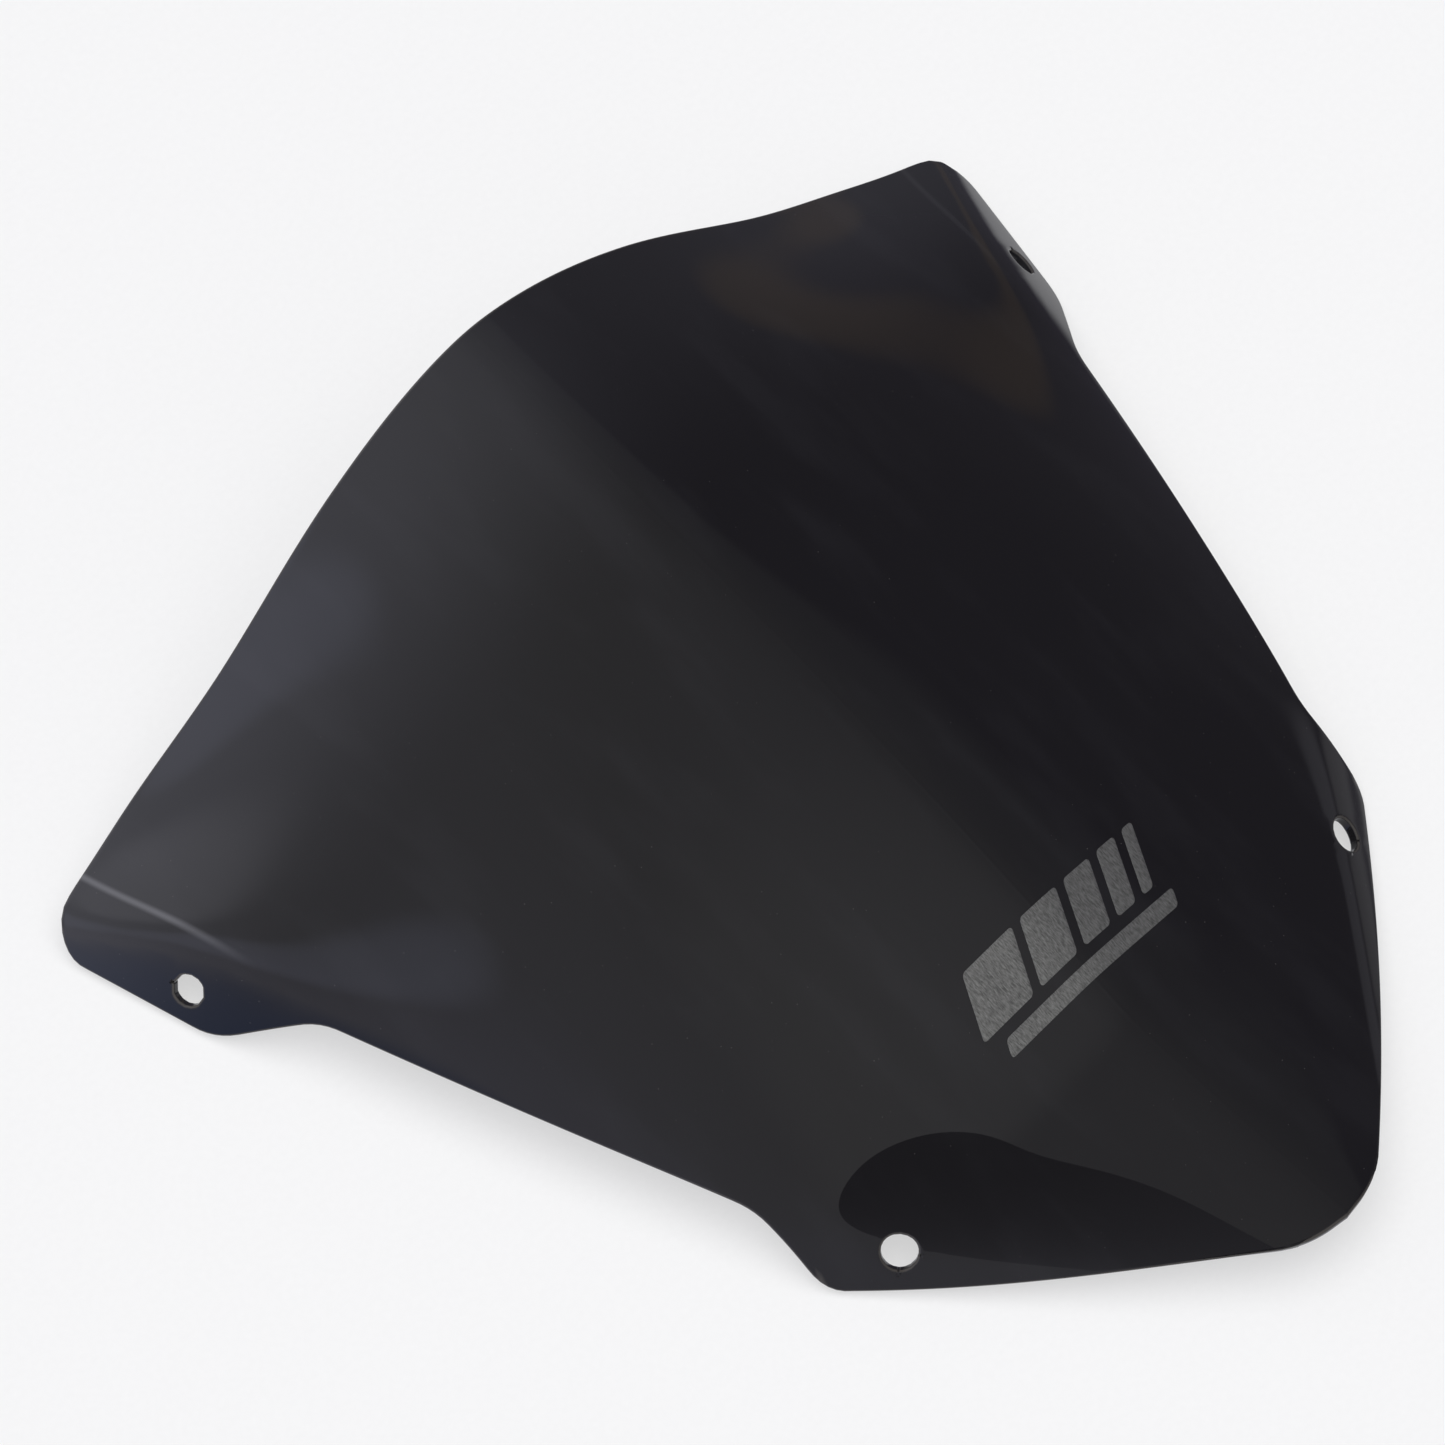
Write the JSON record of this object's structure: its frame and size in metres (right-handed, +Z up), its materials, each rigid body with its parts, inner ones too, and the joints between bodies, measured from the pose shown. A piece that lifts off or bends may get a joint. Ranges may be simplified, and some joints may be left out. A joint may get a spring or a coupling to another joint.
{
  "type": "motorcycle windshield screen",
  "caption": "Dark smoked acrylic windshield screen for a sport motorcycle, arched along a centre crease, with drilled fixing lugs and a silver foil mark.",
  "frame": {"origin": "bottom centre of the screen's bounding box, on the surface it stands on", "axes": "+X to the rider's right, across the screen's width; -Y to the nose, along its length; +Z up, its height when it stands on its four lugs"},
  "size_m": [0.3534, 0.3248, 0.0945],
  "materials": {
    "smoked_acrylic": "near-black smoked acrylic sheet, gloss as formed, edges flame polished",
    "silver_foil": "silver metallised foil with a fine sparkling grain"
  },
  "bodies": {
    "root": {"screen": "smoked_acrylic", "foil_bar_1": "silver_foil", "foil_bar_2": "silver_foil", "foil_bar_3": "silver_foil", "foil_bar_4": "silver_foil", "foil_bar_5": "silver_foil", "foil_strip": "silver_foil"}
  },
  "joints": []
}
